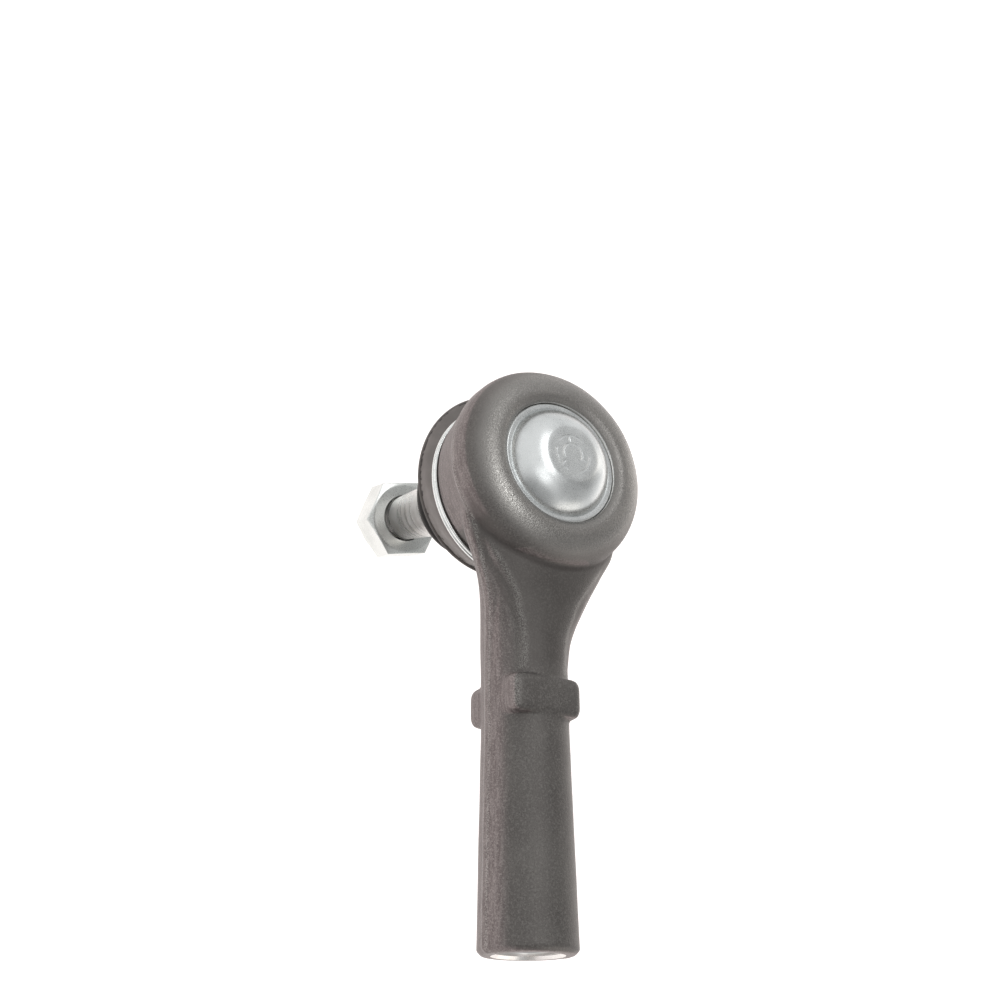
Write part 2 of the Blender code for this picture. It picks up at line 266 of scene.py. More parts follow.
def coil(name, wire, turns, radii, heights, place=HOUSING_PLACE, per_turn=140, sides=18):
    """Round wire wound about Z with rounded ends."""
    count = int(turns * per_turn)
    stations = [(0.0, 0.02), (0.0, 0.6), (0.0, 0.88)]
    stations += [(k / count, 1.0) for k in range(count + 1)]
    stations += [(1.0, 0.88), (1.0, 0.6), (1.0, 0.02)]
    pitch = (heights[1] - heights[0]) / (2.0 * math.pi * turns)
    rings = []
    for index, (t, scale) in enumerate(stations):
        angle = 2.0 * math.pi * turns * t
        radius = radii[0] + (radii[1] - radii[0]) * t
        height = heights[0] + (heights[1] - heights[0]) * t
        out = Vector((math.cos(angle), math.sin(angle), 0.0))
        along = Vector((-math.sin(angle) * radius, math.cos(angle) * radius, pitch)).normalized()
        across = along.cross(out)
        bulge = wire * math.sqrt(max(0.0, 1.0 - scale * scale))
        end = -bulge if index < 3 else bulge
        centre = out * radius + Vector((0.0, 0.0, height)) + along * (end if scale < 1.0 else 0.0)
        ring = []
        for s in range(sides):
            turn = 2.0 * math.pi * s / sides
            ring.append(centre + (out * math.cos(turn) + across * math.sin(turn)) * wire * scale)
        rings.append(ring)
    vertices, faces = skin(rings)
    return finish_mesh(name, vertices, faces, place)


def apply_modifiers(thing):
    depsgraph = bpy.context.evaluated_depsgraph_get()
    mesh = bpy.data.meshes.new_from_object(thing.evaluated_get(depsgraph))
    thing.modifiers.clear()
    thing.data = mesh
    return thing


def boolean(thing, other, operation):
    modifier = thing.modifiers.new(operation.title(), "BOOLEAN")
    modifier.operation = operation
    modifier.solver = "EXACT"
    modifier.material_mode = "TRANSFER"
    modifier.object = other


# ---------------------------------------------------------------- materials
class Paint:
    """A Principled material and the nodes that vary it over the surface."""

    def __init__(self, name, colour, metallic, roughness, **sockets):
        self.material = bpy.data.materials.new(name)
        self.material.use_nodes = True
        self.tree = self.material.node_tree
        self.shader = self.tree.nodes["Principled BSDF"]
        self.shader.inputs["Base Color"].default_value = (*colour, 1.0)
        self.shader.inputs["Metallic"].default_value = metallic
        self.shader.inputs["Roughness"].default_value = roughness
        for socket, value in sockets.items():
            self.shader.inputs[socket.replace("_", " ")].default_value = value
        self.coordinates = self.tree.nodes.new("ShaderNodeTexCoord").outputs["Object"]

    def link(self, source, target):
        self.tree.links.new(source, target)

    def noise(self, size, detail=3.0, stretch=None, source=None, rough=0.5):
        """Noise whose features are about size millimetres across."""
        vector = source or self.coordinates
        if stretch:
            mapping = self.tree.nodes.new("ShaderNodeMapping")
            mapping.inputs["Scale"].default_value = stretch
            self.link(vector, mapping.inputs["Vector"])
            vector = mapping.outputs["Vector"]
        node = self.tree.nodes.new("ShaderNodeTexNoise")
        node.inputs["Scale"].default_value = 1.0 / (size * MM)
        node.inputs["Detail"].default_value = detail
        node.inputs["Roughness"].default_value = rough
        self.link(vector, node.inputs["Vector"])
        return node.outputs["Fac"]

    def attribute(self, name, output="Fac"):
        node = self.tree.nodes.new("ShaderNodeAttribute")
        node.attribute_name = name
        return node.outputs[output]

    def ramp(self, source, low, high, to_low=0.0, to_high=1.0):
        node = self.tree.nodes.new("ShaderNodeMapRange")
        node.interpolation_type = "SMOOTHSTEP"
        node.inputs["From Min"].default_value = low
        node.inputs["From Max"].default_value = high
        node.inputs["To Min"].default_value = to_low
        node.inputs["To Max"].default_value = to_high
        self.link(source, node.inputs["Value"])
        return node.outputs["Result"]

    def math(self, operation, first, second):
        node = self.tree.nodes.new("ShaderNodeMath")
        node.operation = operation
        for socket, value in zip(node.inputs, (first, second)):
            if isinstance(value, (int, float)):
                socket.default_value = value
            else:
                self.link(value, socket)
        return node.outputs["Value"]

    def mix(self, factor, first, second):
        node = self.tree.nodes.new("ShaderNodeMix")
        node.data_type = "RGBA"
        self.link(factor, node.inputs["Factor"])
        for name, value in (("A", first), ("B", second)):
            socket = [s for s in node.inputs if s.name == name and s.type == "RGBA"][0]
            if isinstance(value, tuple):
                socket.default_value = (*value, 1.0)
            else:
                self.link(value, socket)
        return [s for s in node.outputs if s.type == "RGBA"][0]

    def bump(self, height, distance, strength=1.0):
        """Adds a bump of distance millimetres under the bumps already there."""
        node = self.tree.nodes.new("ShaderNodeBump")
        node.inputs["Distance"].default_value = distance * MM
        node.inputs["Strength"].default_value = strength
        self.link(height, node.inputs["Height"])
        links = self.shader.inputs["Normal"].links
        if links:
            self.link(links[0].from_socket, node.inputs["Normal"])
        self.link(node.outputs["Normal"], self.shader.inputs["Normal"])

    def colour(self, source):
        self.link(source, self.shader.inputs["Base Color"])

    def roughness(self, source):
        self.link(source, self.shader.inputs["Roughness"])


def forged_steel():
    paint = Paint("forged_steel", (0.12, 0.115, 0.11), 0.7, 0.5)
    wear = paint.attribute("wear")
    side = paint.attribute("side")
    rolled = paint.attribute("rolled")
    crease_shade = paint.attribute("crease_shade")
    flow = paint.attribute("flow", "Vector")
    patches = paint.noise(9.0, 4.0)
    grain = paint.noise(0.4, 3.0, rough=0.6)
    fine = paint.noise(0.2, 2.0)
    streaks = paint.noise(0.6, 3.0, stretch=(0.12, 1.0, 1.0), source=flow)
    scale = paint.mix(paint.ramp(patches, 0.3, 0.7), (0.104, 0.097, 0.092), (0.126, 0.119, 0.112))
    # rim colour: rubbed steel of the crest, lighter also as a painted highlight
    rim = paint.mix(paint.ramp(patches, 0.3, 0.7), (0.225, 0.216, 0.206), (0.26, 0.25, 0.238))
    # flank colour: trimmed, streaked steel, lighter and warmer also as a painted reflection
    flank_sheen_colour = paint.mix(paint.ramp(streaks, 0.35, 0.68), (0.155, 0.131, 0.128), (0.225, 0.197, 0.192))
    body = paint.mix(rolled, paint.mix(side, scale, flank_sheen_colour), rim)
    # specks are lighter on the flanks too, part of the same painted reflection
    pale = paint.mix(side, (0.2, 0.19, 0.18), (0.36, 0.32, 0.31))
    speckled = paint.mix(paint.ramp(grain, 0.46, 0.66, 0.0, 0.6), body, pale)
    dark = paint.ramp(fine, 0.46, 0.36, 0.0, 0.45)
    dark = paint.math("MULTIPLY", dark, paint.ramp(rolled, 0.0, 1.0, 1.0, 0.2))
    # painted shade: the crease mask darkens the neck-head corner and, less, the neck's top
    dark = paint.math("MAXIMUM", dark, paint.math("MULTIPLY", crease_shade, 0.75))
    mottled_and_shaded = paint.mix(dark, speckled, (0.06, 0.052, 0.049))
    polished = paint.math("MULTIPLY", wear, paint.ramp(fine, 0.44, 0.58))
    paint.colour(paint.mix(polished, mottled_and_shaded, (0.62, 0.61, 0.58)))
    rough = paint.ramp(grain, 0.35, 0.65, 0.42, 0.58)
    rough = paint.math("SUBTRACT", rough, paint.math("MULTIPLY", rolled, 0.22))
    paint.roughness(paint.math("SUBTRACT", rough, paint.math("MULTIPLY", wear, 0.12)))
    paint.bump(fine, 0.05, 0.6)
    paint.bump(grain, 0.12, 0.6)
    paint.bump(paint.math("MULTIPLY", streaks, side), 0.16, 0.6)
    return paint.material


def machined_steel():
    paint = Paint("machined_steel", (0.6, 0.58, 0.56), 1.0, 0.22)
    grain = paint.noise(0.8, 2.0)
    bands = paint.noise(1.6, 2.0, stretch=(0.05, 0.05, 1.0))
    stain = paint.noise(3.0, 4.0)
    paint.colour(paint.mix(paint.ramp(stain, 0.4, 0.7), (0.78, 0.765, 0.75), (0.7, 0.675, 0.65)))
    paint.roughness(paint.ramp(bands, 0.3, 0.7, 0.24, 0.32))
    paint.bump(grain, 0.003, 0.5)
    return paint.material


def zinc_plate(name, light, dark, low, high, speckle):
    paint = Paint(name, light, 1.0, (low + high) / 2.0)
    clouds = paint.noise(5.0, 5.0)
    grain = paint.noise(0.28, 4.0, rough=0.7)
    spots = paint.noise(0.22, 2.0)
    plated = paint.mix(paint.ramp(clouds, 0.35, 0.7), light, dark)
    pits = paint.math("MULTIPLY", paint.ramp(spots, 0.6, 0.72), paint.ramp(clouds, 0.4, 0.62))
    pits = paint.math("MULTIPLY", pits, speckle)
    paint.colour(paint.mix(pits, plated, tuple(0.35 * c for c in dark)))
    paint.roughness(paint.ramp(grain, 0.3, 0.75, low, high))
    paint.bump(grain, 0.012, 0.5)
    return paint.material


def boot_rubber():
    """Grey rubber, painted near black on the belly below the fin as shade."""
    paint = Paint("boot_rubber", (0.12, 0.108, 0.103), 0.0, 0.5)
    outside_shade = paint.attribute("outside_belly_shade")
    crease_shade = paint.attribute("crease_shade")
    clouds = paint.noise(6.0, 4.0)
    film = paint.noise(1.2, 4.0)
    grain = paint.noise(0.3, 3.0)
    base = paint.mix(paint.ramp(clouds, 0.35, 0.7), (0.15, 0.134, 0.126), (0.19, 0.171, 0.162))
    grey = paint.mix(paint.ramp(film, 0.5, 0.8, 0.0, 0.4), base, (0.2, 0.182, 0.175))
    # painted shade: near black on the belly below the fin, grey rubber above it
    tone = paint.mix(outside_shade, (0.034, 0.03, 0.028), grey)
    # painted shade: a near-black broken line in the crease just above the fin
    broken = paint.math("MULTIPLY", crease_shade, paint.ramp(film, 0.5, 0.56))
    paint.colour(paint.mix(broken, tone, (0.02, 0.017, 0.016)))
    paint.roughness(paint.ramp(film, 0.3, 0.7, 0.42, 0.58))
    paint.bump(grain, 0.012, 0.5)
    return paint.material


def spring_wire():
    paint = Paint("spring_wire", (0.86, 0.86, 0.84), 1.0, 0.2)
    clouds = paint.noise(1.5, 3.0)
    grain = paint.noise(0.5, 2.0)
    paint.colour(paint.mix(paint.ramp(clouds, 0.4, 0.7), (0.8, 0.82, 0.81), (0.7, 0.72, 0.71)))
    paint.roughness(paint.ramp(clouds, 0.3, 0.7, 0.14, 0.28))
    paint.bump(grain, 0.002, 0.4)
    return paint.material


def plastic(name, light, dark, grain_size):
    paint = Paint(name, light, 0.0, 0.4)
    clouds = paint.noise(2.5, 3.0)
    grain = paint.noise(grain_size, 2.0)
    paint.colour(paint.mix(paint.ramp(clouds, 0.35, 0.7), light, dark))
    paint.roughness(paint.ramp(clouds, 0.3, 0.7, 0.32, 0.48))
    paint.bump(grain, 0.01, 0.5)
    return paint.material


def floor_paint():
    glow = {"Emission_Color": (1.0, 0.9, 0.88, 1.0), "Emission_Strength": 0.5}
    paint = Paint("floor_paint", (0.9, 0.9, 0.895), 0.0, 0.9, **glow)
    clouds = paint.noise(400.0, 2.0)
    paint.colour(paint.mix(paint.ramp(clouds, 0.3, 0.7), (0.9, 0.9, 0.895), (0.88, 0.88, 0.875)))
    return paint.material


STEEL = forged_steel()
MACHINED = machined_steel()
CAP_ZINC = zinc_plate("cap_zinc", (0.72, 0.74, 0.74), (0.63, 0.65, 0.65), 0.24, 0.4, 0.7)
NUT_ZINC = zinc_plate("nut_zinc", (0.76, 0.78, 0.76), (0.66, 0.68, 0.66), 0.26, 0.36, 0.2)
RUBBER = boot_rubber()
WIRE = spring_wire()
NYLON = plastic("nylon", (0.78, 0.78, 0.74), (0.7, 0.7, 0.65), 0.4)
POLYMER = plastic("bearing_polymer", (0.75, 0.74, 0.7), (0.66, 0.65, 0.6), 0.5)


def place_piece(thing, material, body, slot, *nodes):
    if not thing.data.materials:
        thing.data.materials.append(material)
    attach(thing, body)
    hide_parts(*nodes)


# ---------------------------------------------------------------- forged housing
# x, half width, height of the parting edge, top, bottom, upper and lower squareness
NECK_ROWS = [
    (5.0, 18.0, 1.6, 8.0, -4.6, 2.6, 2.0),
    (14.2, 16.9, 2.0, 8.2, -4.9, 2.3, 1.8),
    (19.7, 14.3, 1.2, 7.9, -5.8, 2.1, 1.7),
    (23.6, 12.3, 0.4, 7.1, -8.4, 2.1, 1.7),
    (28.0, 10.5, -0.8, 5.9, -11.0, 2.1, 1.8),
    (33.4, 9.0, -2.8, 5.0, SHANK_AXIS - SHANK_RADIUS, 2.05, 1.95),
    (39.0, SHANK_RADIUS, SHANK_AXIS, SHANK_AXIS + SHANK_RADIUS, SHANK_AXIS - SHANK_RADIUS, 2, 2),
]
# x and half width of the flat panel on the neck's top, where a worn ridge bounds it
PANEL_ROWS = [(14.0, 15.5), (19.0, 12.5), (21.6, 10.5), (25.2, 8.0), (27.2, 6.8), (30.5, 5.8)]
PANEL_ROWS += [(33.0, 5.0), (37.4, 4.5), (41.0, 4.7)]
# x and height above the parting edge of the flash line, and of the fine groove over it
FLASH_ROWS = [(14.0, 1.7), (18.7, 1.07), (21.1, 0.87), (25.2, 0.75), (28.6, 0.54), (32.3, 0.25)]
FLASH_ROWS += [(40.0, 0.0)]
GROOVE_ROWS = [(14.0, 3.3), (20.6, 3.05), (24.4, 3.0), (28.1, 2.7), (31.8, 2.2), (35.6, 1.8)]
GROOVE_ROWS += [(39.7, 1.45)]
SHANK_TAPER_START = COLLAR_START + COLLAR_LENGTH + 2.0
FLASH_HALF_WIDTH = 0.8
FLASH_HEIGHT = 0.22
VOXEL = 0.26
RING_POINTS = 240


def neck_shape(x):
    if x <= NECK_ROWS[-1][0]:
        return blend_rows(NECK_ROWS, x)
    taper = max(0.0, x - SHANK_TAPER_START) / (SOCKET_MOUTH - SOCKET_CHAMFER - SHANK_TAPER_START)
    r = SHANK_RADIUS + (SOCKET_END_RADIUS - SHANK_RADIUS) * taper
    return (r, SHANK_AXIS, SHANK_AXIS + r, SHANK_AXIS - r, 2.0, 2.0)


def neck_relief(x, y, z, edge):
    """Height of the forging's surface detail above the plain neck or shank."""
    relief = FLASH_HEIGHT * land(z - edge - blend_rows(FLASH_ROWS, x)[0], FLASH_HALF_WIDTH)
    relief += 0.05 * noise.noise(Vector((x * 0.16, y * 0.2, z * 0.2)))
    if z > edge:
        fade = smooth_step(x, 15.0, 19.0) * (1.0 - smooth_step(x, 37.0, 41.0))
        beyond = abs(y) - blend_rows(PANEL_ROWS, x)[0]
        strength = fade if y < 0.0 else 0.4 * fade
        relief += strength * (0.12 * hump(beyond, 0.5) - 0.3 * hump(beyond - 1.3, 0.9))
        relief -= strength * 0.14 * hump(z - edge - blend_rows(GROOVE_ROWS, x)[0], 0.4)
    return relief


def neck_ring(x, shrink=0.0):
    half_width, edge, top, bottom, upper, lower = neck_shape(x)
    ring = []
    for k in range(RING_POINTS):
        angle = 2.0 * math.pi * k / RING_POINTS
        c, s = math.cos(angle), math.sin(angle)
        power = 2.0 / (upper if s > 0.0 else lower)
        height = top - edge if s > 0.0 else edge - bottom
        y = half_width * math.copysign(abs(c) ** power, c)
        z = edge + height * math.copysign(abs(s) ** power, s)
        out = Vector((y / half_width**2, (z - edge) / height**2)).normalized()
        rise = neck_relief(x, y, z, edge) - shrink
        ring.append((x, y + out.x * rise, z + out.y * rise))
    return ring


def neck_and_shank():
    end = SOCKET_MOUTH - SOCKET_CHAMFER
    count = int((end - NECK_ROWS[0][0]) / 0.5)
    stations = [NECK_ROWS[0][0] + (end - NECK_ROWS[0][0]) * k / count for k in range(count + 1)]
    rings = [neck_ring(x) for x in stations]
    for t in (0.35, 0.7, 1.0):
        rings.append(neck_ring(end + SOCKET_CHAMFER * t, SOCKET_CHAMFER * t))
    vertices, faces = skin(rings)
    return finish_mesh("forged_housing", vertices, faces)


def head_warp(r, z, angle):
    wave = noise.noise(Vector((r * math.cos(angle) * 0.12, r * math.sin(angle) * 0.12, z * 0.15)))
    wave *= 0.06 * smooth_step(r, 12.0, 14.0)
    if r > 15.0:
        wave += 0.16 * land(z - PARTING_HEIGHT, 0.4)
    return r + wave, z + wave * smooth_step(z, 6.0, 11.0)


def head_body():
    crest = HEAD_RADIUS - RIM_ROUND
    inner_centre = RIM_HEIGHT + RIM_ROUND - RIM_INNER_ROUND
    profile = [(0.0, 10.2), (12.2, 10.2)]
    profile += arc(crest, inner_centre, RIM_INNER_ROUND, 160.0, 95.0, 12)
    profile += arc(crest, RIM_HEIGHT, RIM_ROUND, 90.0, -8.0, 36)
    profile += [(20.9, PARTING_HEIGHT), (18.9, -5.15), (18.7, -5.5)]
    profile += [(16.2, -5.5), (16.2, -9.3), (15.9, -10.3), (0.0, -10.3)]
    return lathe("head_body", resampled(profile, 0.45), 300, warp=head_warp)


def collar_block():
    """Square collar round the shank: long edges crisp, end corners well rounded."""
    half_y, half_z = COLLAR_WIDTH / 2.0, COLLAR_HEIGHT / 2.0
    rings = []
    count = 22
    for k in range(count + 1):
        t = k / count
        x = COLLAR_START + COLLAR_LENGTH * t
        inset = 0.0
        near = min(t, 1.0 - t) * COLLAR_LENGTH
        if near < COLLAR_END_ROUND:
            drop = COLLAR_END_ROUND - near
            inset = COLLAR_END_ROUND - math.sqrt(COLLAR_END_ROUND**2 - drop**2)
        ring = []
        for s in range(96):
            angle = 2.0 * math.pi * (s + 0.5) / 96
            c, q = math.cos(angle), math.sin(angle)
            y = (half_y - 0.55 * inset) * math.copysign(abs(c) ** COLLAR_SQUARENESS, c)
            z = (half_z - 0.35 * inset) * math.copysign(abs(q) ** COLLAR_SQUARENESS, q)
            ring.append((x, y, SHANK_AXIS + z))
        rings.append(ring)
    vertices, faces = skin(rings)
    return finish_mesh("collar_block", vertices, faces)


def cavity_cutter():
    profile = [(0.0, 14.0), (12.75, 14.0), (12.75, 9.7), (14.0, 9.7), (14.0, -4.6), (10.4, -8.1)]
    profile += [(10.4, -8.4), (12.6, -10.6), (12.6, -14.0), (0.0, -14.0)]
    cutter = lathe("cavity_cutter", profile, 160)
    cutter.data.materials.append(MACHINED)
    return cutter


def socket_cutter():
    r = SOCKET_THREAD_RADIUS + 0.2
    profile = [(0.0, 3.0), (r + 3.6, 3.0), (r, -0.6), (r, -SOCKET_DEPTH)]
    profile += [(0.0, -SOCKET_DEPTH - 3.0)]
    place = Matrix.Translation(BALL + Vector((SOCKET_MOUTH, 0.0, SHANK_AXIS)) * MM)
    place = place @ Matrix.Rotation(math.radians(90.0), 4, "Y")
    cutter = lathe("socket_cutter", profile, 96, place=place)
    cutter.data.materials.append(MACHINED)
    return cutter, place


def socket_thread(place):
    """The internal thread's flanks, as a thin sleeve that lines the bore."""
    outer = SOCKET_THREAD_RADIUS + 0.19
    top, bottom = -0.75, -SOCKET_DEPTH + 0.5
    rows = [bottom + (top - bottom) * k / 240 for k in range(241)]
    inner = [(SOCKET_THREAD_RADIUS, z) for z in rows]

    def warp(r, z, angle):
        if r > outer - 0.01:
            return r, z
        return thread(z, angle, SOCKET_THREAD_RADIUS, SOCKET_BORE_RADIUS, SOCKET_PITCH, top), z

    profile = [(outer, top)] + [(outer, bottom)] + inner
    return lathe("socket_thread", profile, 96, closed=True, warp=warp, place=place, sharp=60.0)


def thread(z, angle, crest, root, pitch, entry):
    """Radius of a V thread at height z; it runs out to the crest radius at the entry."""
    phase = (z / pitch + angle / (2.0 * math.pi)) % 1.0
    wave = min(1.0, max(0.0, abs(2.0 * phase - 1.0) * 1.3 - 0.15))
    depth = smooth_step(abs(z - entry), 0.0, pitch)
    return crest + (root - crest) * wave * depth


def rim_and_highlight_at(point):
    """1 on the smooth crest of the rim curled over the cap, lighter both as rubbed metal and as a
    painted highlight, fading to 0 on its outer shoulder.
    """
    r = math.hypot(point.x, point.y)
    return smooth_step(point.z, 7.6, 9.0) * smooth_step(20.4 - r, 0.0, 2.8)


def crease_shade_at(point):
    """Painted shade: 1 in the corner where the neck runs into the head, less on the neck's upper
    surface.
    """
    r = math.hypot(point.x, point.y)
    corner = hump(r - HEAD_RADIUS - 0.25, 0.75) * smooth_step(point.x, 8.0, 13.0)
    panel = smooth_step(r, 21.2, 22.5) * (1.0 - smooth_step(point.x, 38.0, 43.0))
    return max(corner, 0.45 * panel) * (point.z > 3.0)


def wear_at(point):
    """How far the black scale has rubbed off, from 0 to 1."""
    x, y, z = point
    r = math.hypot(x, y)
    azimuth = math.degrees(math.atan2(y, x))
    wear = 0.0
    if z > 9.0 and r > 12.5:
        around = 0.9 * hump(azimuth + 50.0, 24.0) + 0.1
        wear = around * hump(r - 16.6, 1.2)
    head = x < 15.0
    edge = PARTING_HEIGHT if head else neck_shape(x)[1] + blend_rows(FLASH_ROWS, x)[0]
    if 15.0 < x < 41.0 and z > edge + 1.5:
        beyond = abs(y) - blend_rows(PANEL_ROWS, x)[0]
        wear = max(wear, 0.2 * hump(beyond, 0.7) * smooth_step(x, 17.0, 20.0))
    half = 0.4 if head else FLASH_HALF_WIDTH
    if abs(z - edge) < 2.0:
        wear = max(wear, 0.3 * hump(abs(z - edge) - half, 0.3))
    if COLLAR_START < x < COLLAR_START + COLLAR_LENGTH:
        corner = math.hypot(abs(y) - COLLAR_WIDTH / 2.0, abs(z - SHANK_AXIS) - COLLAR_HEIGHT / 2.0)
        wear = max(wear, 0.55 * hump(corner, 0.9))
    return wear


def flank_and_sheen_at(point, normal):
    """1 on the trimmed sides of the forging, whose warm lighter tone is partly a painted reflection
    of warm side light, and 0 on its dark faces.
    """
    # faces with level normals take the painted warm reflection
    facing = 1.0 - smooth_step(abs(normal.z), 0.35, 0.65)
    r = math.hypot(point.x, point.y)
    if r < 21.5 and point.x < 19.0:
        outward = abs(math.degrees(math.atan2(point.y, point.x)))
        wall = smooth_step(SHOULDER_HEIGHT + 0.3 - point.z, 0.0, 0.5)
        return wall * smooth_step(outward, 46.0, 52.0) * smooth_step(r, 17.0, 18.0)
    if 15.0 < point.x < 42.0:
        beyond = abs(point.y) - blend_rows(PANEL_ROWS, point.x)[0]
        return max(facing, 0.4 * smooth_step(beyond, 0.8, 2.4))
    return facing


def write_attributes(thing):
    mesh = thing.data
    values = {"wear": [], "side": [], "rolled": [], "crease_shade": []}
    flow = []
    for vertex in mesh.vertices:
        point = vertex.co / MM
        values["wear"].append(wear_at(point))
        values["side"].append(flank_and_sheen_at(point, vertex.normal))
        values["rolled"].append(rim_and_highlight_at(point))
        values["crease_shade"].append(crease_shade_at(point))
        if point.x < 15.0:
            flow += [math.atan2(point.y, point.x) * HEAD_RADIUS * MM, vertex.co.z, 0.0]
        else:
            flow += [vertex.co.x, vertex.co.z, vertex.co.y]
    for name, numbers in values.items():
        mesh.attributes.new(name, "FLOAT", "POINT").data.foreach_set("value", numbers)
    mesh.attributes.new("flow", "FLOAT_VECTOR", "POINT").data.foreach_set("vector", flow)


def forged_housing():
    housing = neck_and_shank()
    helpers = [head_body(), collar_block()]
    for helper in helpers:
        boolean(housing, helper, "UNION")
    remesh = housing.modifiers.new("Remesh", "REMESH")
    remesh.mode = "VOXEL"
    remesh.voxel_size = VOXEL * MM
    smooth = housing.modifiers.new("Smooth", "SMOOTH")
    smooth.factor = 0.5
    smooth.iterations = 5
    apply_modifiers(housing)
    housing.data.materials.clear()
    housing.data.materials.append(STEEL)
    cutter, place = socket_cutter()
    helpers += [cavity_cutter(), cutter]
    for helper in helpers[2:]:
        boolean(housing, helper, "DIFFERENCE")
    apply_modifiers(housing)
    for helper in helpers:
        bpy.data.objects.remove(helper, do_unlink=True)
    housing.data.shade_smooth()
    housing.data.set_sharp_from_angle(angle=math.radians(40.0))
    write_attributes(housing)
    place_piece(housing, STEEL, "housing", "forged_steel", "forged_housing")
    place_piece(socket_thread(place), MACHINED, "housing", "machined_steel", "forged_housing")


# ---------------------------------------------------------------- closing cap
def cap_warp(r, z, angle):
    """A faint plain stamping on the crown: two broken rings and a few short bars."""
    if r > 5.4 or z < CAP_TOP - 0.5:
        return r, z
    turn = math.degrees(angle) % 360.0
    mark = 0.0
    for radius, start, end in ((3.9, 20, 95), (3.9, 140, 235), (3.9, 262, 338), (2.2, 60, 300)):
        along = smooth_step(turn, start - 6, start + 6) * (1.0 - smooth_step(turn, end - 6, end + 6))
        mark = max(mark, along * land(r - radius, 0.15))
    for bar in (75.0, 195.0, 315.0):
        across = r * math.radians((turn - bar + 180.0) % 360.0 - 180.0)
        mark = max(mark, land(across, 0.18) * land(r - 3.0, 0.55))
    worn = 0.65 + 0.5 * noise.noise(Vector((r * math.cos(angle), r * math.sin(angle), 3.0)))
    return r, z - STAMPING_DEPTH * mark * worn


def closing_cap():
    top = CAP_TOP
    crown = [(0.14 * k, top) for k in range(37)]
    skirt = [(5.2, top), (5.9, top - 0.06), (6.6, top - 0.26), (7.6, top - 0.66), (8.6, top - 1.25)]
    skirt += [(9.5, top - 1.95), (10.3, top - 2.78), (10.9, top - 3.6), (11.3, top - 4.25)]
    flange = [(11.36, 10.47), (11.42, 10.42), (11.5, 10.5), (12.35, 10.55), (12.62, 10.35)]
    flange += [(12.62, 9.4), (13.7, 9.4), (13.7, 8.4)]
    under = [(11.2, 8.4), (10.5, 9.6), (9.9, 11.2), (9.0, 12.3), (7.9, 13.1), (6.8, 13.6)]
    profile = crown + flowing(skirt, 6) + soften(flange + under, 0.1, 3) + [(5.4, 13.8), (0.0, 13.8)]
    cap = lathe("closing_cap_shell", profile, 220, warp=cap_warp, sharp=50.0)
    place_piece(cap, CAP_ZINC, "housing", "cap_zinc", "closing_cap")


# ---------------------------------------------------------------- dust boot
def boot_point(radius, depth, angle):
    """A wall point: the boot's centre line swings to the stud as it leaves the housing."""
    swing = TILT * smooth_step(depth, 8.4, 12.5)
    lean = TILT * smooth_step(depth, 8.4, 14.5)
    slump = BOOT_SLUMP * smooth_step(depth, 8.4, 11.5) * (1.0 - smooth_step(depth, 12.6, 18.0))
    centre = Vector((-depth * math.sin(swing) - slump, 0.0, -depth * math.cos(swing)))
    rim = Vector((radius * math.cos(angle), radius * math.sin(angle), 0.0))
    return centre + Matrix.Rotation(lean, 3, "Y") @ rim


def boot_shell(name, outline):
    rings = []
    steps = 200
    for radius, depth in outline:
        rings.append([boot_point(radius, depth, 2.0 * math.pi * k / steps) for k in range(steps)])
    vertices, faces = skin(rings, closed_rings=True)
    shell = finish_mesh(name, vertices, faces, sharp=55.0)
    ridge = BOOT_RIDGE_DEPTH
    for label, value_at in (
        # painted shade mask: 1 above the fin, 0 on the shaded belly
        ("outside_belly_shade", lambda depth: 1.0 - smooth_step(depth, ridge + 0.25, ridge + 0.4)),
        # painted shade line in the crease just above the fin
        ("crease_shade", lambda depth: land(depth - ridge + 0.35, 0.3)),
    ):
        values = [value_at(depth) for radius, depth in outline for k in range(steps)]
        shell.data.attributes.new(label, "FLOAT", "POINT").data.foreach_set("value", values)
    return shell


def dust_boot():
    ridge = BOOT_RIDGE_DEPTH
    bead = soften([(17.95, 5.75), (17.95, 8.4)], 0.2)
    shoulder = flowing([(17.95, 8.4), (18.3, 9.1), (18.8, 10.5), (19.05, 11.8), (19.1, 12.35)], 5)
    upper = bead + shoulder[1:] + [(19.03, 12.48), (18.85, ridge)]
    upper += flowing([(18.0, ridge), (17.7, 10.6), (16.6, 9.0), (16.5, 5.75)], 4)
    fin = [(18.85, ridge), (19.15, 12.64), (19.4, 12.7), (19.44, 12.8), (19.3, 12.9)]
    belly = [(18.5, 13.05), (17.6, 14.1), (16.5, 15.9), (15.1, 17.8), (13.3, 19.6), (11.6, 20.9)]
    neck = [(11.6, 20.9), (10.2, 21.7), (9.35, 22.3), (9.2, 22.9), (9.3, 23.5), (10.6, 24.4)]
    neck += [(12.4, 25.2), (12.7, 25.9), (12.3, BOOT_LIP_DEPTH)]
    inner = [(7.25, BOOT_LIP_DEPTH), (7.25, 24.0), (7.25, 21.8)]
    inside = [(7.25, 21.8), (9.4, 20.7), (11.8, 19.4), (13.7, 18.0), (15.2, 16.3), (16.6, 14.3)]
    inside += [(18.0, ridge)]
    lower = fin + flowing(belly, 5) + flowing(neck, 5)[1:] + inner + flowing(inside, 4)[1:]
    top = boot_shell("dust_boot_upper", upper)
    bottom = boot_shell("dust_boot_lower", lower)
    for piece in (top, bottom):
        piece.data.materials.append(RUBBER)
        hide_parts("dust_boot")
    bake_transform(top)
    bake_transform(bottom)


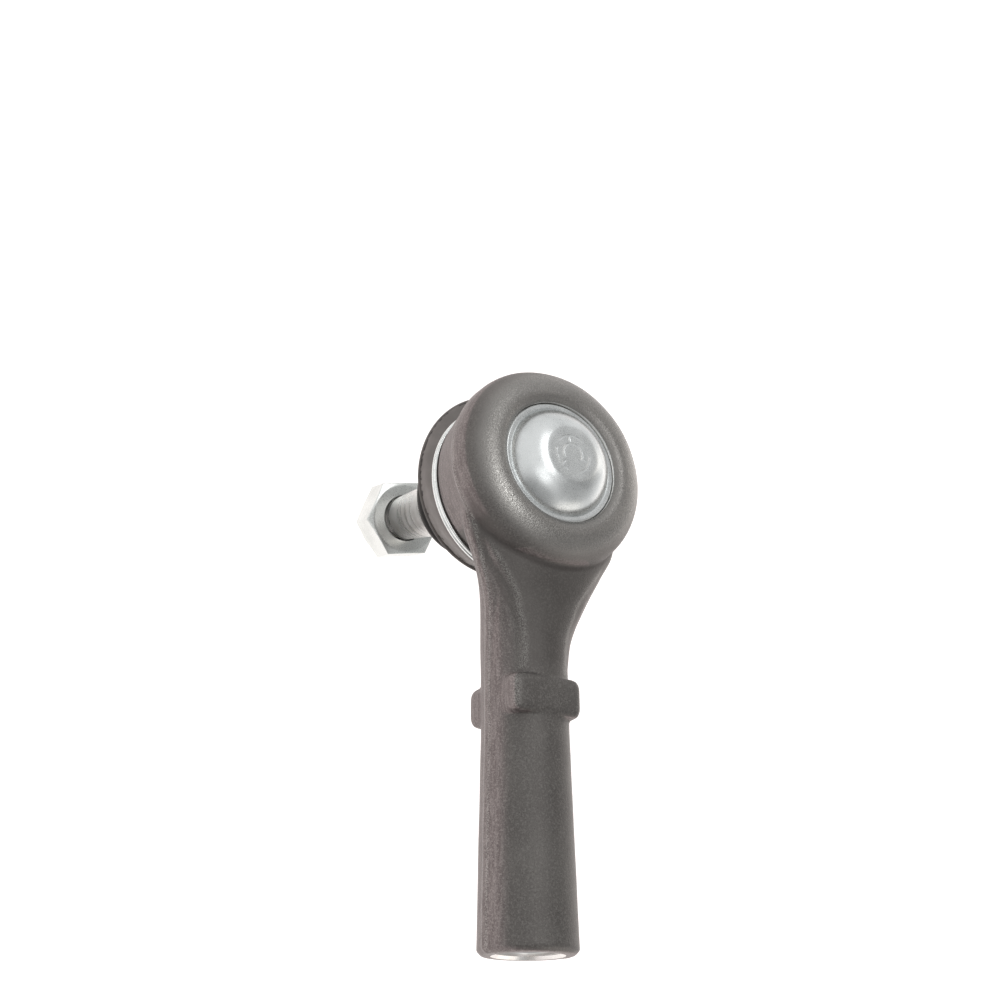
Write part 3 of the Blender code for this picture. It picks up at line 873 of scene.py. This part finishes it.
# ---------------------------------------------------------------- wire rings
def wire_rings():
    clamp = coil("boot_clamp_ring_wire", CLAMP_WIRE_RADIUS, 2.0, (18.8, 18.8), (-5.58, -7.3))
    place_piece(clamp, WIRE, "housing", "spring_wire", "boot_clamp_ring")
    wire, radii, heights = SMALL_WIRE_RADIUS, (9.95, 9.95), (-22.65, -23.5)
    small = coil("stud_clamp_ring_wire", wire, 1.0, radii, heights, STUD_PLACE)
    place_piece(small, WIRE, "boot_neck", "spring_wire", "stud_clamp_ring")


# ---------------------------------------------------------------- ball stud
def ball_stud():
    neck_angle = math.degrees(math.asin(NECK_RADIUS / BALL_RADIUS))
    profile = [(0.0, 10.55), (1.5, 10.55), (3.0, 10.56)]
    profile += arc(0.0, 0.0, BALL_RADIUS, 73.5, neck_angle - 90.0, 60)
    profile += flowing([(NECK_RADIUS, -11.0), (NECK_RADIUS, -14.0), (5.3, -17.0), (6.3, -20.0)], 5)
    profile += [(TAPER_TOP_RADIUS - 0.12, -21.35), (TAPER_TOP_RADIUS, -21.6)]
    profile += [(TAPER_TOP_RADIUS, -26.5), (TAPER_TOP_RADIUS - 0.08, -26.7)]
    profile += [(TAPER_END_RADIUS, -56.25), (TAPER_END_RADIUS - 0.15, -56.4)]
    entry = -STUD_LENGTH + 0.6
    start = THREAD_START
    rows = int((start - entry) / 0.1)
    profile += [(THREAD_RADIUS, start + (entry - start) * k / rows) for k in range(rows + 1)]
    profile += [(THREAD_RADIUS - 0.9, -STUD_LENGTH + 0.1), (THREAD_RADIUS - 1.2, -STUD_LENGTH)]
    profile += [(2.4, -STUD_LENGTH), (1.9, -STUD_LENGTH + 0.5), (0.0, -STUD_LENGTH + 1.6)]

    def warp(r, z, angle):
        if z > start or abs(r - THREAD_RADIUS) > 1e-6:
            return r, z
        return thread(z, angle, THREAD_RADIUS, THREAD_ROOT_RADIUS, THREAD_PITCH, start), z

    stud = lathe("ball_stud_turned", profile, 128, warp=warp, place=STUD_PLACE, sharp=60.0)
    place_piece(stud, MACHINED, "stud", "machined_steel", "ball_stud")


# ---------------------------------------------------------------- lock nut
def hexagon_radius(angle):
    turn = (math.degrees(angle) - NUT_CORNER) % 60.0 - 30.0
    return NUT_ACROSS_FLATS / 2.0 / math.cos(math.radians(turn))


def lock_nut():
    corner = NUT_ACROSS_FLATS / math.sqrt(3.0) + 0.3
    face = NUT_ACROSS_FLATS * 0.47
    bore = THREAD_RADIUS + 0.3
    top = -NUT_POSITION
    hex_end = top - NUT_HEX_HEIGHT
    end = top - NUT_HEIGHT
    drop = (corner - face) * math.tan(math.radians(NUT_CHAMFER))
    chamfer = [(face + (corner - face) * k / 12, top - drop * k / 12) for k in range(13)]
    flats = [(corner, top - drop - (NUT_HEX_HEIGHT - 2 * drop) * k / 10) for k in range(1, 10)]
    back = [(corner + (face - corner) * k / 12, hex_end + drop * (1 - k / 12)) for k in range(13)]
    collar = [(7.75, hex_end - 0.15), (7.6, hex_end - 0.4), (7.6, end + 0.9), (7.1, end + 0.2)]
    collar += [(6.4, end), (5.9, end + 0.25), (5.9, end + 0.7), (7.0, end + 1.0)]
    collar += [(7.0, hex_end - 0.1), (bore, hex_end + 0.2), (bore, top - 0.65)]
    mouth = [(5.32, top - 0.28), (5.5, top), (face - 0.2, top), (face - 0.08, top - 0.01)]
    profile = mouth + chamfer[1:] + flats + back + soften(collar, 0.2, 3)

    def warp(r, z, angle):
        if r < face:
            return r, z
        return soft_min(r, hexagon_radius(angle), 0.18), z

    nut = lathe("lock_nut_hexagon", profile, 360, closed=True, warp=warp, place=STUD_PLACE)
    place_piece(nut, NUT_ZINC, "stud", "nut_zinc", "lock_nut")
    start, stop = hex_end - 0.4, end + 1.3
    outline = [(6.7, start), (6.7, stop), (bore, stop), (bore, start)]
    outline = soften(outline, 0.15, 3, closed=True)
    ring = lathe("nylon_insert", outline, 120, closed=True, place=STUD_PLACE)
    place_piece(ring, NYLON, "stud", "nylon", "nylon_ring")


def hidden_nodes():
    """CAD nodes whose shape is right keep their mesh and get a finish."""
    for name, material in (
        ("upper_bearing_seat", POLYMER),
        ("lower_bearing_seat", POLYMER),
        ("preload_spring", WIRE),
    ):
        mesh = frame["nodes"][name].data
        mesh.materials.clear()
        mesh.materials.append(material)


# ---------------------------------------------------------------- studio
FLOOR_HALF_SIZE = 9.0
FLOOR_DROP = 0.42
ROOM_BRIGHTNESS = 0.9
WARM_WHITE = (1.0, 0.94, 0.88)
# where the camera stands from the ball, in millimetres, and how it is turned, in degrees
CAMERA_PLACE = Vector((118.8, -142.2, 216.2))
CAMERA_AZIMUTH = 39.98
CAMERA_ELEVATION = 50.91
CAMERA_ROLL = 56.53


def add_floor():
    mesh = bpy.data.meshes.new("floor")
    size, height = FLOOR_HALF_SIZE, BALL.z - FLOOR_DROP
    corners = [(-size, -size, height), (size, -size, height), (size, size, height)]
    corners.append((-size, size, height))
    mesh.from_pydata(corners, [], [(0, 1, 2, 3)])
    mesh.materials.append(floor_paint())
    floor = bpy.data.objects.new("floor", mesh)
    bpy.context.scene.collection.objects.link(floor)


def add_light(name, direction, distance, size, power, colour=(1.0, 1.0, 1.0)):
    """A rectangular soft light that faces the ball from the given direction."""
    light = bpy.data.lights.new(name, "AREA")
    light.shape = "RECTANGLE"
    light.size, light.size_y = size
    light.energy = power
    light.color = colour
    lamp = bpy.data.objects.new(name, light)
    bpy.context.scene.collection.objects.link(lamp)
    towards = Vector(direction).normalized()
    lamp.location = BALL + towards * distance
    lamp.rotation_mode = "QUATERNION"
    lamp.rotation_quaternion = towards.to_track_quat("Z", "Y")


def add_world():
    """A pale room with darker parts; each is a direction, its cosine limits and its depth."""
    world = bpy.data.worlds.new("studio")
    bpy.context.scene.world = world
    world.use_nodes = True
    tree = world.node_tree
    background = tree.nodes["Background"]
    background.inputs["Strength"].default_value = ROOM_BRIGHTNESS
    direction = tree.nodes.new("ShaderNodeTexCoord").outputs["Generated"]
    shade = None
    for lobe, low, high, depth in (
        ((0.87, -0.4, 0.28), 0.62, 0.97, 0.6),
        ((0.25, 0.6, 0.8), 0.7, 0.97, 0.5),
        ((-0.35, 0.6, 0.72), 0.82, 1.0, 0.4),
    ):
        dot = tree.nodes.new("ShaderNodeVectorMath")
        dot.operation = "DOT_PRODUCT"
        tree.links.new(direction, dot.inputs[0])
        dot.inputs[1].default_value = Vector(lobe).normalized()
        fade = tree.nodes.new("ShaderNodeMapRange")
        fade.interpolation_type = "SMOOTHSTEP"
        fade.inputs["From Min"].default_value = low
        fade.inputs["From Max"].default_value = high
        fade.inputs["To Min"].default_value = 1.0
        fade.inputs["To Max"].default_value = 1.0 - depth
        tree.links.new(dot.outputs["Value"], fade.inputs["Value"])
        if shade is None:
            shade = fade.outputs["Result"]
        else:
            both = tree.nodes.new("ShaderNodeMath")
            both.operation = "MULTIPLY"
            tree.links.new(shade, both.inputs[0])
            tree.links.new(fade.outputs["Result"], both.inputs[1])
            shade = both.outputs["Value"]
    tree.links.new(shade, background.inputs["Color"])


def add_camera():
    data = bpy.data.cameras.new("camera")
    data.lens = 50.4
    data.sensor_width = 36.0
    data.clip_start = 0.01
    data.clip_end = 60.0
    camera = bpy.data.objects.new("camera", data)
    bpy.context.scene.collection.objects.link(camera)
    turn = Matrix.Rotation(math.radians(CAMERA_AZIMUTH), 4, "Z")
    turn = turn @ Matrix.Rotation(math.radians(90.0 - CAMERA_ELEVATION), 4, "X")
    turn = turn @ Matrix.Rotation(math.radians(CAMERA_ROLL), 4, "Z")
    camera.matrix_world = Matrix.Translation(BALL + CAMERA_PLACE * MM) @ turn
    bpy.context.scene.camera = camera


forged_housing()
closing_cap()
dust_boot()
wire_rings()
ball_stud()
lock_nut()
hidden_nodes()

add_floor()
add_world()
add_light("key", (0.31, -0.28, 0.9), 1.1, (0.45, 0.45), 0.55)
add_light("softbox_top", (-0.3, 0.03, 0.95), 1.2, (0.3, 0.9), 2.1)
add_light("warm_low", (0.8, 0.55, 0.08), 0.7, (0.5, 0.5), 0.5, (1.0, 0.92, 0.83))
add_light("strip_right", (-0.4, 0.8, 0.42), 0.9, (0.2, 0.5), 0.3, WARM_WHITE)
add_light("low_side", (-0.2, 0.95, -0.28), 0.7, (0.6, 0.6), 0.7, WARM_WHITE)
add_camera()
bpy.context.scene.view_settings.view_transform = "Standard"
